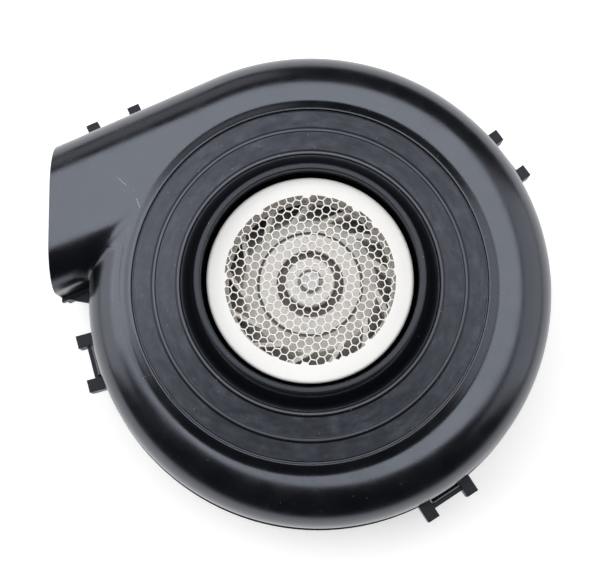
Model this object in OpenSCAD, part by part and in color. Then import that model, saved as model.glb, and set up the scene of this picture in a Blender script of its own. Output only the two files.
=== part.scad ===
// Suction blower for a floor cleaner: a scroll casing in two snapped shells, with a
// brushless fan hung inside it on a rubber bellows and a rubber ring.
// Millimetres, +Z towards the inlet, origin at the centre of the rear face.

/* [Scroll casing] */
// Radius of the scroll at its tongue
scroll_r = 47.7; // [46:0.1:51]
// Growth of the scroll's radius at each change of arc
scroll_step = 1.3; // [0.5:0.05:2.5]
// Sideways offset of the scroll's first centre from the fan's axis
scroll_x = 1.7; // [0:0.1:2.5]
// Endways offset of that centre from the fan's axis
scroll_y = -1.2; // [-2:0.1:1]
// Wall thickness of both shells
wall = 1.8; // [1.5:0.1:2.2]
// Height of the parting plane above the rear face
parting_z = 21; // [19:0.5:24]
// Height of the upper shell's crown above the parting plane
crown_h = 16; // [15:0.5:18]
// Radius of the rounded shoulders of both shells
shoulder_r = 9; // [6:0.5:10]
// Depth of the motor pan below the lower shell's floor
pan_depth = 3; // [2.5:0.1:4]
// Radius inside the motor pan
pan_r = 21.8; // [21.4:0.1:24]

/* [Outlet duct] */
// Direction from the scroll's centre at which the outer duct wall leaves it, in degrees
duct_a = 114.3; // [111:0.1:118]
// Direction in which the air leaves, in degrees
outlet_a = 180.4; // [177:0.1:186]
// Direction in which the duct's inner wall runs into the scroll, in degrees
tongue_dir = 22; // [16:1:28]
// Distance from the fan's axis to the outlet's inner corner
outlet_reach = 53; // [51.5:0.1:56]
// How far that corner lies past the fan's axis
outlet_drop = 0.9; // [0:0.1:2]

/* [Snap fasteners] */
// Distance between the two posts of one fastener
post_gap = 9.7; // [9:0.1:11]
// Width of a post
post_w = 2.7; // [2.2:0.1:3]
// How far a post stands out of the shell
post_out = 4.2; // [3.6:0.1:4.6]
// Height of a post
post_h = 5; // [4.5:0.1:6]
// Thickness of the bar that joins two posts
bar_t = 0.9; // [0.7:0.1:1.1]
// Thickness of a hook
hook_t = 1.0; // [0.8:0.1:1.1]
// Clearance around a hook
hook_clear = 0.25; // [0.15:0.05:0.35]
// Width of the rim bead on the lower shell
rim_out = 0.8; // [0.5:0.1:1.2]
// Height of the rim bead on the lower shell
rim_h = 2.4; // [2:0.1:3]
// Height of the lip on the lower shell that locates the upper one
rabbet_h = 1.5; // [1:0.1:2]
// Clearance around that lip
rabbet_clear = 0.15; // [0.1:0.05:0.25]

/* [Rubber bellows] */
// Radius of the opening in the upper shell
opening_r = 35; // [34:0.1:35.6]
// Thickness of the bellows sheet
sheet_t = 1.3; // [1:0.1:1.6]
// Height of each ring bead on the bellows
bead_h = 0.55; // [0.3:0.05:0.8]
// Thickness of the inlet lip
lip_t = 1.2; // [1:0.1:1.4]
// Height of the inlet lip above the grille
lip_rise = 3.7; // [2.5:0.1:5]

/* [Inlet grille] */
// Radius of the grille's rim
grille_r = 20.5; // [20:0.1:20.9]
// Radius of the honeycomb
comb_r = 16.9; // [15:0.1:17.2]
// Distance between the centres of two cells
cell_pitch = 1.7; // [1.6:0.05:2.4]
// Thickness of the honeycomb's walls
cell_wall = 0.2; // [0.15:0.05:0.5]
// Thickness of the honeycomb's sheet
comb_t = 0.5; // [0.4:0.1:0.9]
// Direction of a row of cells, in degrees
comb_a = 19.5; // [0:0.5:60]
// Thickness of the grille
grille_t = 1.2; // [1:0.1:1.5]
// Height of the grille above the crown
grille_rise = 6.5; // [6:0.1:8]

/* [Fan] */
// Radius of the impeller
fan_r = 27; // [25:0.1:27.6]
// Radius of the impeller's eye
eye_r = 16.4; // [15.8:0.1:16.6]
// Width of the impeller at its tip
tip_w = 6; // [5:0.1:7]
// Number of impeller blades
blades = 13; // [7:1:15]
// Thickness of a blade
blade_t = 0.9; // [0.7:0.1:1.2]
// Thickness of the impeller's back disc
disc_t = 1.2; // [1:0.1:1.5]
// Thickness of the impeller's shroud
shroud_t = 0.9; // [0.7:0.1:1.2]
// Number of diffuser vanes
vanes = 18; // [12:3:21]
// Width of the diffuser around the impeller
diffuser_w = 6; // [5.5:0.1:7]
// Thickness of the fan cover's sheet
lid_t = 0.8; // [0.6:0.1:1]
// Running gap behind the impeller
back_gap = 0.9; // [0.7:0.1:1.2]
// Running gap in front of the impeller
front_gap = 1; // [0.7:0.1:1.3]

/* [Motor] */
// Radius of the shaft
shaft_r = 2; // [1.9:0.05:2.1]
// Outer radius of a ball bearing
bearing_r = 4.5; // [4.4:0.05:4.7]
// Width of a ball bearing
bearing_w = 4; // [3.6:0.1:4.2]
// Number of balls in a bearing
balls = 7; // [6:1:7]
// Radius of a ball
ball_r = 0.75; // [0.65:0.01:0.76]
// Wall of the bearing tube
tube_t = 1; // [0.8:0.1:1.2]
// Number of stator teeth
teeth = 9; // [6:3:9]
// Radius of the stator
stator_r = 10.2; // [9.8:0.1:10.4]
// Height of the stator's stack of sheets
stack_h = 6; // [5:0.1:6.4]
// Width of a stator tooth
tooth_w = 2.2; // [1.8:0.1:2.4]
// Air gap between stator and magnet
air_gap = 0.4; // [0.3:0.05:0.5]
// Thickness of the magnet ring
magnet_t = 1.7; // [1.4:0.1:1.9]
// Thickness of the rotor cup's sheet
yoke_t = 1.2; // [1:0.1:1.3]
// Height of the motor bay under the base plate
bay_h = 12; // [11.5:0.1:13]
// Thickness of the base plate
base_t = 2; // [1.6:0.1:2.5]
// Thickness of the rubber pad under the motor
damper_pad = 2.4; // [2:0.1:3]
// Thickness of the control board
board_t = 1.6; // [1.2:0.1:1.8]

/* [Hidden] */
$fn = 96;
seam = 0.01;                                  // overlap where two shapes of one piece are joined

// The heights of the stack, from the rear face upwards.
crown_z = parting_z + crown_h;
cover_z = wall + damper_pad;
base_z = cover_z + bay_h;
base_top = base_z + base_t;
disc_z = base_top + back_gap;
disc_top = disc_z + disc_t;
tip_z = disc_top + tip_w;
lid_z = tip_z + shroud_t + front_gap;
lid_top = lid_z + lid_t;
diffuser_r = fan_r + diffuser_w;
grille_top = crown_z + grille_rise;
grille_z = grille_top - grille_t;
lip_top = grille_top + lip_rise;
hub_z = grille_top - 3.5;                     // crown of the impeller's hub
ring_z = hub_z - 2.8;                         // flat ring around the hub

// The scroll is three arcs whose centres step back as the radius grows.
function polar(r, a) = [r * cos(a), r * sin(a)];
proud = 0.1;                                  // each arc stands this much over the one before
lap = 1.5;                                    // and starts this many degrees before its end
arc_join = [300, 400];
arc_c1 = [scroll_x, scroll_y];
arc_c2 = arc_c1 - polar(scroll_step - proud, arc_join[0]);
arc_c3 = arc_c2 - polar(scroll_step - proud, arc_join[1]);
arc_r1 = scroll_r;
arc_r2 = scroll_r + scroll_step;
arc_r3 = scroll_r + 2 * scroll_step;
tongue_a = 100;                               // the first arc starts inside the duct
arc_flat = scroll_r - pan_r / 2;              // an arc's section reaches in over the motor pan
hair = 0.03;
outlet_corner = [-outlet_reach, -outlet_drop];
duct_start = arc_c3 + polar(arc_r3 + proud, duct_a);
duct_w = (duct_start - outlet_corner) * polar(1, duct_a);
duct_flat = duct_w / 2 + 2;                   // the two halves of the duct lap at its middle
mouth_over = duct_w / 2;                      // how far its outer wall runs past the mouth, to be trimmed
duct_len = mouth_over + (outlet_corner - duct_start) * polar(1, outlet_a) / cos(outlet_a - duct_a - 90);
flare_a = tongue_dir + 180 - outlet_a;        // between the inner wall and the air's way out
inner_over = duct_flat * tan(flare_a) + 1;    // the same for its inner wall
mouth_drop = inner_over * sin(flare_a) + rim_out + 1;
tongue_len = outlet_reach * cos(tongue_dir);  // the inner wall runs in until it is abreast of the axis
web_a = 181;                                  // where the web beside the outlet meets the scroll

// Snap fasteners: a point on the shell and the direction out of it.
function on_arc(c, r, a) = [c + polar(r, a), a];
stations = [
    on_arc(arc_c2, arc_r2, 36),
    on_arc(arc_c2, arc_r2, 303),
    on_arc(arc_c1, arc_r1, 195.5),
    [duct_start + polar(22.9, duct_a + 90), duct_a]
];
post_top = parting_z - 0.3;
bar_h = 2.5;
bar_z = post_top - 0.4 - bar_h;
hook_play = 0.1;                              // slack between a barb and its bar
hook_barb = 0.75;
bar_x = 2 * hook_clear + hook_t;               // a bar stands clear of its hook
barb_h = 1.6;
hook_w = post_gap - post_w - 2 * hook_clear;
hook_root = wall / 3;

// Ring beads of the bellows: radius and height above the crown.
collar_foot = opening_r + 3.4;
collar_in = opening_r + 1.6;
collar_h = 1.3;
bead_r = [26, 31, 35.6];
bead_z = [4.3, 2.5, 1.35];
bead_w = 0.5;
neck_r = grille_r - 0.3;                      // outside of the fan cover's neck
lip_r = grille_r + 0.7;
lip_seat_z = crown_z + 2.6;                   // where the lip leaves the neck
heel_h = 5.4;                                 // height of the grip on the neck
clamp_h = 1.1;
rubber_clear = 0.06;                          // between the rubber's groove and the shell
damper_ledge = 4;
damper_h = 5.5;
damper_round = 0.5;

// Radii of the motor, from the bearings outwards.
race_t = 0.75;
ball_track = (shaft_r + bearing_r) / 2;
ball_clear = 0.06;
tube_r = bearing_r + tube_t;
magnet_in = stator_r + air_gap;
magnet_r = magnet_in + magnet_t;
yoke_r = magnet_r + yoke_t;
low_bearing_z = base_z + 1;
stack_z = base_top + 3.3;
high_bearing_z = stack_z + stack_h - 1.5;
tube_top = high_bearing_z + bearing_w + 0.4;
yoke_top = tube_top + 0.4 + 1;
yoke_bevel = 0.6;
nest_r = yoke_r + 0.08;                       // inside of the impeller, glued over the rotor cup
bush_r = 3.4;
bush_top = yoke_top + 3.2;
yoke_skirt_z = disc_z + 0.4;
spring_gap = 0.5;
stator_hub = 1.5;                             // ring of the stator's sheets around the tube
shoe_t = 0.8;
insulator_t = 0.7;
coil_t = 0.85;

// Bolt circles of the fan and of the control board.
screw_n = 3;
screw_r = 1.0;
screw_head_r = 1.9;
boss_r = 2.1;
screw_ring = diffuser_r - boss_r - 0.3;
board_r = 17.4;
board_ring = 14.6;
standoff_h = 2.6;
standoff_r = 2.2;
board_screw_r = 0.8;
board_z = base_z - standoff_h - board_t;
cover_r = pan_r - 1.6;
cover_t = 1.5;
flange_r = cover_r + 3.8;
flange_t = 2;
small_head_r = 1.5;
small_head_h = 1;
switch_w = 3;                                 // the board's transistors, chip and capacitors
switch_h = 1;
switch_ring = 8.5;
chip_w = 5;
chip_h = 0.9;
chip_ring = 7;
can_r = 2;
can_h = 5.5;
can_ring = 12.6;
socket_w = 12;
socket_d = 4.8;
socket_y = -11.2;
socket_wall = 0.7;
socket_z = 1;
pins = 5;
pin_pitch = 2;

// Points of a curve from a to c that is drawn towards b, without its first point.
function bend(a, b, c, n = 7) =
    [for (i = [1 : n]) let (t = i / n) (1 - t) * (1 - t) * a + 2 * t * (1 - t) * b + t * t * c];

// Half of a scroll section: radius across, height up, with its far outer corner rounded.
module half_section(inner, outer, base, h, round_r) {
    if (round_r > 0) {
        translate([inner, base]) square([outer - inner, h - round_r - base]);
        translate([inner, base]) square([outer - inner - round_r, h - base]);
        translate([outer - round_r, h - round_r]) intersection() {
            circle(round_r);
            translate([-1, -1]) square(round_r + 1);
        }
    } else {
        translate([inner, base]) square([outer - inner, h - base]);
    }
}

module scroll_arc(c, r, a0, a1, inset, base, h, round_r) {
    translate(c) rotate(a0) rotate_extrude(angle = a1 - a0)
        half_section(r - arc_flat, r - inset, base, h, round_r);
}

// A straight duct wall: the section's outer edge runs along Y through the origin.
module duct_wall(inset, y0, y1, base, h, round_r) {
    translate([0, y1, 0]) rotate([90, 0, 0]) linear_extrude(y1 - y0)
        half_section(-duct_flat, -inset, base, h, round_r);
}

// The scroll and its duct, set in by inset, h high. Each stretch stands a hair over the one before.
// All of them reach a little past the parting plane, for a cut to trim.
module scroll_form(inset, h, round_r = 0, up = true, base = -1) {
    translate([0, 0, parting_z]) mirror([0, 0, up ? 0 : 1]) {
        scroll_arc(arc_c1, arc_r1, tongue_a, arc_join[0], inset, base, h - 4 * hair, round_r);
        translate(outlet_corner) rotate(tongue_dir + 270)
            duct_wall(inset, -inner_over, tongue_len, base - 0.1, h - 3 * hair, round_r);
        scroll_arc(arc_c2, arc_r2, arc_join[0] - lap, arc_join[1], inset, base - 0.2, h - 2 * hair, round_r);
        scroll_arc(arc_c3, arc_r3, arc_join[1] - lap, 360 + duct_a, inset, base - 0.3, h - hair, round_r);
        translate(duct_start) rotate(duct_a) duct_wall(inset, -1, duct_len, base - 0.4, h, round_r);
    }
}

// Everything on one side of the parting plane.
module past_parting(up = true) {
    block = 2 * (outlet_reach + scroll_r);
    translate([-block / 2, -block / 2, up ? parting_z : parting_z - block]) cube(block);
}

// Everything past the outlet's mouth.
module past_mouth() {
    translate(outlet_corner) rotate(outlet_a) translate([0, -2 * duct_w, -1])
        cube([2 * mouth_over, 2 * duct_w + mouth_drop, crown_z + 2]);
}

// Places its children at each snap fastener, with X pointing out of the shell.
module at_stations() {
    for (s = stations) translate(s[0]) rotate(s[1]) children();
}

// A hook that hangs from the upper shell and catches under a bar.
module hook() {
    back = hook_clear;
    front = hook_clear + hook_t;
    catch_z = bar_z - hook_play;
    foot = catch_z - barb_h;
    translate([0, hook_w / 2, 0]) rotate([90, 0, 0]) linear_extrude(hook_w)
        polygon([[-hook_root, parting_z + seam], [back, parting_z + seam], [back, foot], [front, foot],
                 [front + hook_barb, foot + 1], [front + hook_barb, catch_z], [front, catch_z],
                 [front, parting_z + 1.4], [front - 0.5, parting_z + 1.9], [-hook_root, parting_z + 1.9]]);
}

module upper_shell() {
    color("#2b2d33") difference() {
        union() {
            difference() {
                scroll_form(0, crown_h, shoulder_r);
                past_mouth();
                past_parting(up = false);
            }
            rotate_extrude() polygon([[collar_in, crown_z - wall / 2], [collar_foot, crown_z - wall / 2],
                                      [collar_foot, crown_z - 0.2], [collar_in + 0.5, crown_z + collar_h],
                                      [collar_in, crown_z + collar_h]]);
            at_stations() hook();
        }
        scroll_form(wall, crown_h - wall, shoulder_r - wall);
        scroll_form(wall / 2, rabbet_h + rabbet_clear + 4 * hair);
        translate([0, 0, parting_z - 2]) cylinder(r = opening_r, h = crown_h + collar_h + 3);
    }
}

// A pair of posts joined by a bar: the loop that a hook snaps through.
module post_pair() {
    for (side = [-1, 1]) translate([-wall / 2, side * post_gap / 2 - post_w / 2, post_top - post_h])
        cube([post_out + wall / 2, post_w, post_h]);
    translate([bar_x, -post_gap / 2, bar_z]) cube([bar_t, post_gap, bar_h]);
}

// The web that closes the notch between the outlet's inner corner and the scroll.
module notch_web() {
    root = scroll_r - wall / 2;
    translate([0, 0, parting_z - rim_h + 0.3]) linear_extrude(rim_h - 0.5)
        polygon([outlet_corner, arc_c1 + polar(scroll_r + rim_out / 2, web_a), arc_c1 + polar(root, web_a),
                 arc_c1 + polar(root, web_a - 5)]);
}

module lower_shell() {
    depth = parting_z - pan_depth;
    color("#24262b") difference() {
        union() {
            difference() {
                union() {
                    scroll_form(0, depth, shoulder_r, up = false);
                    scroll_form(-rim_out, rim_h, up = false, base = -2);
                    notch_web();
                }
                past_mouth();
                past_parting();
                at_stations() translate([0, -post_gap / 2, parting_z - 8]) cube([post_out, post_gap, 9]);
            }
            difference() {
                scroll_form(wall / 2 + rabbet_clear, rabbet_h);
                past_mouth();
            }
            cylinder(r = pan_r + wall, h = pan_depth + 0.5);
            at_stations() post_pair();
            for (i = [0 : 7]) rotate(i * 45 + 22.5) translate([pan_r, -0.6, pan_depth - 1.4])
                cube([13, 1.2, 1.7]);
        }
        scroll_form(wall, depth - wall, shoulder_r - wall, up = false, base = -rabbet_h - 1);
        translate([0, 0, wall]) cylinder(r = pan_r, h = parting_z);
        translate([-socket_w / 2 - 1, socket_y - socket_d / 2 - 1, -1])
            cube([socket_w + 2, socket_d + 2, wall + 2]);
    }
}

// The rubber sheet that seals the inlet to the upper shell and lets the fan float.
module bellows() {
    z = [for (h = bead_z) crown_z + h];
    top = lip_top;
    trough = z[0] - 2.2;
    groove_r = opening_r - rubber_clear;
    groove_z = crown_z - wall - 4 * hair - rubber_clear;
    skirt_r = collar_in - rubber_clear;
    heel_z = lip_seat_z - heel_h;
    color("#1d2026") rotate_extrude() polygon(concat(
        // Over the top, from the lip outwards, with three ring beads.
        [[lip_r, top - 0.3], [lip_r + 0.3, top], [lip_r + lip_t - 0.3, top], [lip_r + lip_t, top - 0.3],
         [lip_r + lip_t, trough + 0.4], [lip_r + lip_t + 0.4, trough], [bead_r[0] - 1.6, trough],
         [bead_r[0] - bead_w, z[0] - bead_h]],
        [for (i = [0 : 2]) each [[bead_r[i] - bead_w / 2, z[i]], [bead_r[i] + bead_w / 2, z[i]],
                                 [bead_r[i] + bead_w, z[i] - bead_h],
                                 i < 2 ? [bead_r[i + 1] - bead_w, z[i + 1] - bead_h + 0.35]
                                       : [skirt_r, z[i] - bead_h]]],
        // Round the edge of the shell's opening, above and below it.
        [[skirt_r, crown_z], [groove_r, crown_z], [groove_r, groove_z], [skirt_r, groove_z],
         [skirt_r, groove_z - clamp_h], [opening_r - sheet_t, groove_z - clamp_h]],
        // Back under the sheet to the neck of the fan cover.
        [[opening_r - sheet_t, z[2] - sheet_t], [bead_r[1], z[1] - sheet_t - bead_h],
         [bead_r[0], z[0] - sheet_t - bead_h], [bead_r[0] - 1.4, trough - sheet_t],
         [neck_r + sheet_t, trough - sheet_t], [neck_r + sheet_t, heel_z], [neck_r, heel_z],
         [neck_r, lip_seat_z], [lip_r, lip_seat_z + 0.8]]));
}

// The rubber ring in the pan that the motor stands in.
module rear_damper() {
    top = cover_z + damper_h;
    ledge_r = cover_r - damper_ledge;
    color("#1d2026") rotate_extrude() polygon([[ledge_r, wall], [pan_r, wall], [pan_r, top - damper_round],
        [pan_r - damper_round, top], [cover_r, top], [cover_r, cover_z], [ledge_r, cover_z]]);
}

// Centres of the honeycomb's cells, in two sets of rows.
comb_n = ceil(comb_r / cell_pitch) + 2;
comb_off = [-0.87, 0];
edge_r = 0.7;                                 // rounding of the cap's edge
bell_t = 0.8;
eye_gap = 0.6;
function cell_at(i, j) = comb_off + polar(i * cell_pitch, comb_a) + polar(j * cell_pitch, comb_a + 60);
cell_in_r = comb_r + cell_pitch * 0.2;
cells = [for (i = [-2 * comb_n : 2 * comb_n], j = [-2 * comb_n : 2 * comb_n]) let (c = cell_at(i, j))
         if (norm(c) < cell_in_r) c];
cell_r = (cell_pitch - cell_wall) / 2 / cos(30);
comb_seat = comb_r - 0.3;                     // the cap is thinned inside this radius

// The pale cap with its honeycomb, and the short bell that leads the air to the eye.
module inlet_grille() {
    edge_foot = [grille_r, grille_top - edge_r];
    color("#f2f1ee") {
        difference() {
            rotate_extrude() polygon(concat([[0, grille_top - comb_t], [comb_seat, grille_top - comb_t],
                [comb_seat, grille_z], [grille_r, grille_z]], [edge_foot],
                bend(edge_foot, [grille_r, grille_top], [grille_r - edge_r, grille_top], 5),
                [[0, grille_top]]));
            translate([0, 0, grille_z - 1]) linear_extrude(grille_t + 2) intersection() {
                circle(comb_r);
                for (c = cells) translate(c) rotate(comb_a + 30) circle(cell_r, $fn = 6);
            }
        }
        rotate_extrude() translate([comb_r + 0.1, eye_top + eye_gap])
            square([bell_t, grille_z - eye_top - eye_gap + seam]);
    }
}

// Meridian curves of the impeller: the hub, and the inside of the shroud.
tip_gap = 1.2;                                // running gap around the impeller
eye_top = lid_z + 8.5;
hub_r = yoke_r + 0.1;                         // outside of the hub at its upper rim
hub_rim_z = ring_z - 3.6;
root_r = nest_r + 0.3;                        // blade roots stay outside the rotor cup
blade_in_a = 32;
blade_out_a = 48;
hub_curve = concat([[hub_r, hub_rim_z]],
                   bend([hub_r, hub_rim_z], [hub_r + 2.6, disc_top + 2], [fan_r, disc_top], 9));
shroud_curve = concat([[eye_r, eye_top]],
                      bend([eye_r, eye_top], [eye_r + 0.9, tip_z + 1.6], [fan_r, tip_z], 9));
function flipped(points) = [for (i = [len(points) - 1 : -1 : 0]) points[i]];

// The inner points of a curve, moved by d to its left.
function shifted(points, d) = [for (i = [1 : len(points) - 2])
    let (run = points[i + 1] - points[i - 1]) points[i] + d / norm(run) * [-run[1], run[0]]];

// The pressed cover over the impeller, with the neck that the bellows grips.
module fan_cover() {
    foot = neck_r - lid_t;
    shoulder_z = lip_seat_z - heel_h;
    inside = concat([[foot, shoulder_z]],
                    bend([foot, shoulder_z], [foot + 0.6, lid_z + 0.4], [fan_r + 1, lid_z], 8));
    outside = shifted(inside, lid_t);
    color("#c9c9c6") difference() {
        rotate_extrude() polygon(concat([[foot, grille_z]], inside,
            [[diffuser_r, lid_z], [diffuser_r, lid_top], [fan_r + 1, lid_top]],
            flipped(outside), [[neck_r, shoulder_z], [neck_r, grille_z]]));
        at_screws() translate([0, 0, lid_z - 1]) cylinder(r = screw_r, h = lid_t + 2);
    }
}

module at_screws() {
    for (i = [0 : screw_n - 1]) rotate(i * 360 / screw_n + 30) translate([screw_ring, 0, 0]) children();
}

// A blade or vane: an arc of radius bow about a point at distance off, between two radii.
module curved_blade(r_in, r_out, b_in, b_out, t) {
    bow = (r_out * r_out - r_in * r_in) / (2 * (r_out * cos(b_out) - r_in * cos(b_in)));
    off = sqrt(bow * bow + r_in * r_in - 2 * bow * r_in * cos(b_in));
    intersection() {
        translate([off, 0]) difference() {
            circle(bow + t / 2);
            circle(bow - t / 2);
        }
        difference() {
            circle(r_out);
            circle(r_in);
        }
        translate([-2 * r_out, 0]) square(4 * r_out);
    }
}

module diffuser() {
    ring_in = fan_r + tip_gap;
    color("#3a3c40") difference() {
        union() {
            translate([0, 0, base_top]) difference() {
                cylinder(r = diffuser_r, h = 1.2);
                translate([0, 0, -1]) cylinder(r = ring_in, h = 4);
            }
            translate([0, 0, base_top + 0.5]) linear_extrude(lid_z - base_top - 0.5)
                for (i = [0 : vanes - 1]) rotate((i + 0.3) * 360 / vanes) mirror([0, 1])
                    curved_blade(ring_in + 0.1, diffuser_r - 0.1, 24, 30, 0.9);
            at_screws() translate([0, 0, base_top + 0.5]) cylinder(r = boss_r, h = lid_z - base_top - 0.5);
        }
        at_screws() translate([0, 0, base_top - 1]) cylinder(r = screw_r, h = lid_z);
    }
}

// The moulded plate that carries the motor, with stand-offs for the control board.
module base_plate() {
    color("#34363a") difference() {
        union() {
            translate([0, 0, base_z]) cylinder(r = diffuser_r, h = base_t);
            at_board_posts() translate([0, 0, board_z + board_t])
                cylinder(r = standoff_r, h = standoff_h + seam);
        }
        translate([0, 0, base_z - 1]) cylinder(r = tube_r, h = base_t + 2);
        at_screws() translate([0, 0, base_z - 1]) cylinder(r = screw_r, h = base_t + 2);
        at_board_posts() translate([0, 0, board_z])
            cylinder(r = board_screw_r, h = board_t + standoff_h);
        at_cover_screws() translate([0, 0, base_z - 1]) cylinder(r = board_screw_r, h = base_t);
    }
}

module at_cover_screws() {
    for (i = [0 : 2]) rotate(i * 120 + 90) translate([(cover_r + flange_r) / 2, 0, 0]) children();
}

module at_board_posts() {
    for (i = [0 : 2]) rotate(i * 120 + 90) translate([board_ring, 0, 0]) children();
}

module bearing_tube() {
    shoulder_lo = low_bearing_z + bearing_w + spring_gap;
    step_r = bearing_r - 0.6;
    color("#b08d4a") rotate_extrude() polygon([[step_r, base_z], [tube_r, base_z], [tube_r, tube_top],
        [bearing_r, tube_top], [bearing_r, high_bearing_z], [step_r, high_bearing_z], [step_r, shoulder_lo],
        [bearing_r, shoulder_lo], [bearing_r, low_bearing_z], [step_r, low_bearing_z]]);
}

// The cup under the base plate that closes the motor bay.
module rear_cover() {
    flange_z = base_z - flange_t;
    color("#303236") difference() {
        rotate_extrude() polygon([[0, cover_z], [cover_r - 0.8, cover_z], [cover_r, cover_z + 0.8],
            [cover_r, flange_z], [flange_r, flange_z], [flange_r, base_z], [cover_r - cover_t, base_z],
            [cover_r - cover_t, cover_z + cover_t], [0, cover_z + cover_t]]);
        at_cover_screws() translate([0, 0, flange_z - 1]) cylinder(r = board_screw_r, h = flange_t + 2);
        translate([-socket_w / 2 - 0.2, socket_y - socket_d / 2 - 0.2, cover_z - 1])
            cube([socket_w + 0.4, socket_d + 0.4, cover_t + 2]);
    }
}

module control_board() {
    color("#1f6b3a") translate([0, 0, board_z]) difference() {
        cylinder(r = board_r, h = board_t);
        translate([0, 0, -1]) cylinder(r = 3.4, h = board_t + 2);
        at_board_posts() translate([0, 0, -1]) cylinder(r = 1.1, h = board_t + 2);
    }
}

// Six transistors, a controller chip and two capacitors, on the board's underside.
module board_parts() {
    color("#2a2a2c") {
        for (i = [0 : 5]) rotate(i * 24 + 30) translate([switch_ring, -switch_w / 2, board_z - switch_h])
            cube([switch_w, switch_w, switch_h]);
        rotate(200) translate([chip_ring, -chip_w / 2, board_z - chip_h]) cube([chip_w, chip_w, chip_h]);
        for (a = [165, 226]) rotate(a) translate([can_ring, 0, board_z - can_h])
            cylinder(r = can_r, h = can_h);
    }
}

// The white socket that a plug enters from the rear.
module power_socket() {
    inner_w = socket_w - 2 * socket_wall;
    inner_d = socket_d - 2 * socket_wall;
    color("#e8e4da") difference() {
        translate([-socket_w / 2, socket_y - socket_d / 2, socket_z])
            cube([socket_w, socket_d, board_z - socket_z]);
        translate([-inner_w / 2, socket_y - inner_d / 2, socket_z - 1]) cube([inner_w, inner_d, 6]);
        for (i = [0 : pins - 1]) translate([(i - (pins - 1) / 2) * pin_pitch, socket_y, socket_z])
            translate([-0.25, -0.25, 0]) cube([0.5, 0.5, board_z]);
    }
}

module socket_pins() {
    color("#c9b36a") for (i = [0 : pins - 1])
        translate([(i - (pins - 1) / 2) * pin_pitch - 0.25, socket_y - 0.25, socket_z + 1.4])
            cube([0.5, 0.5, board_z - socket_z - 1.4]);
}

// Outline of the stator's sheets: a hub, teeth and their shoes, cut by the bore.
module stator_outline(r, w) {
    shoe_a = 0.42 * 360 / teeth;
    difference() {
        union() {
            circle(tube_r + stator_hub);
            for (i = [0 : teeth - 1]) rotate(i * 360 / teeth) {
                translate([0, -w / 2]) square([r - shoe_t / 2, w]);
                intersection() {
                    difference() {
                        circle(r);
                        circle(r - shoe_t);
                    }
                    polygon([[0, 0], polar(2 * r, shoe_a), [2 * r, 0], polar(2 * r, -shoe_a)]);
                }
            }
        }
        circle(tube_r);
    }
}

module stator_core() {
    color("#8a8d90") translate([0, 0, stack_z]) linear_extrude(stack_h) stator_outline(stator_r, tooth_w);
}

module insulator(z) {
    color("#d8d2c0") translate([0, 0, z]) linear_extrude(insulator_t) stator_outline(stator_r - 0.2, tooth_w);
}

// One coil on each tooth, wound round the sheets and both insulators.
module windings() {
    inner_h = stack_h + 2 * insulator_t;
    half_w = tooth_w / 2 + coil_t;
    start = tube_r + stator_hub + 0.2;
    coil_len = sqrt(pow(stator_r - 0.2 - shoe_t, 2) - half_w * half_w) - start - 0.1;
    color("#b5652b") for (i = [0 : teeth - 1]) rotate(i * 360 / teeth)
        translate([start, 0, stack_z - insulator_t]) difference() {
            translate([0, -half_w, -coil_t]) cube([coil_len, 2 * half_w, inner_h + 2 * coil_t]);
            translate([-1, -tooth_w / 2, 0]) cube([coil_len + 2, tooth_w, inner_h]);
        }
}

// A wavy spring washer that loads the lower bearing.
module preload_washer() {
    n = 48;
    r0 = bearing_r - 0.55;
    r1 = bearing_r - 0.05;
    z0 = low_bearing_z + bearing_w;
    t = 0.2;
    points = [for (i = [0 : n - 1]) let (a = i * 360 / n, z = z0 + (spring_gap - t) * (1 + cos(3 * a)) / 2)
              each [[r0 * cos(a), r0 * sin(a), z], [r1 * cos(a), r1 * sin(a), z],
                    [r1 * cos(a), r1 * sin(a), z + t], [r0 * cos(a), r0 * sin(a), z + t]]];
    faces = [for (i = [0 : n - 1], k = [0 : 3]) let (j = (i + 1) % n, m = (k + 1) % 4)
             [4 * i + k, 4 * i + m, 4 * j + m, 4 * j + k]];
    color("#b9bcc0") polyhedron(points, faces, convexity = 4);
}

// The races have a round groove for the balls.
module outer_race(z) {
    color("#c4c8cc") rotate_extrude() difference() {
        translate([bearing_r - race_t, z]) square([race_t, bearing_w]);
        translate([ball_track, z + bearing_w / 2]) circle(ball_r + ball_clear);
    }
}

module inner_race(z) {
    color("#c4c8cc") rotate_extrude() difference() {
        translate([shaft_r, z]) square([race_t, bearing_w]);
        translate([ball_track, z + bearing_w / 2]) circle(ball_r + ball_clear);
    }
}

module at_balls(z) {
    for (i = [0 : balls - 1]) rotate(i * 360 / balls) translate([ball_track, 0, z + bearing_w / 2])
        children();
}

module bearing_cage(z) {
    color("#a8884a") difference() {
        rotate_extrude() translate([ball_track - 0.25, z + bearing_w / 2 - 0.9]) square([0.5, 1.8]);
        at_balls(z) sphere(ball_r + ball_clear);
    }
}

module bearing_balls(z) {
    color("#d5d8db") at_balls(z) sphere(ball_r);
}

module shaft() {
    top = grille_z - 0.5;
    foot = low_bearing_z - 1.4;
    color("#d0d3d6") rotate_extrude() polygon([[0, foot], [shaft_r - 0.3, foot], [shaft_r, foot + 0.3],
        [shaft_r, low_bearing_z - 0.5], [shaft_r - 0.4, low_bearing_z - 0.5], [shaft_r - 0.4, low_bearing_z],
        [shaft_r, low_bearing_z], [shaft_r, top - 0.25], [shaft_r - 0.25, top], [0, top]]);
}

// The open ring in the shaft's groove, under the lower bearing.
module shaft_clip() {
    color("#8d9196") translate([0, 0, low_bearing_z - 0.5]) linear_extrude(0.5) difference() {
        circle(shaft_r + 1);
        circle(shaft_r - 0.4);
        translate([0, -1]) square([2 * shaft_r, 2]);
    }
}

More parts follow.
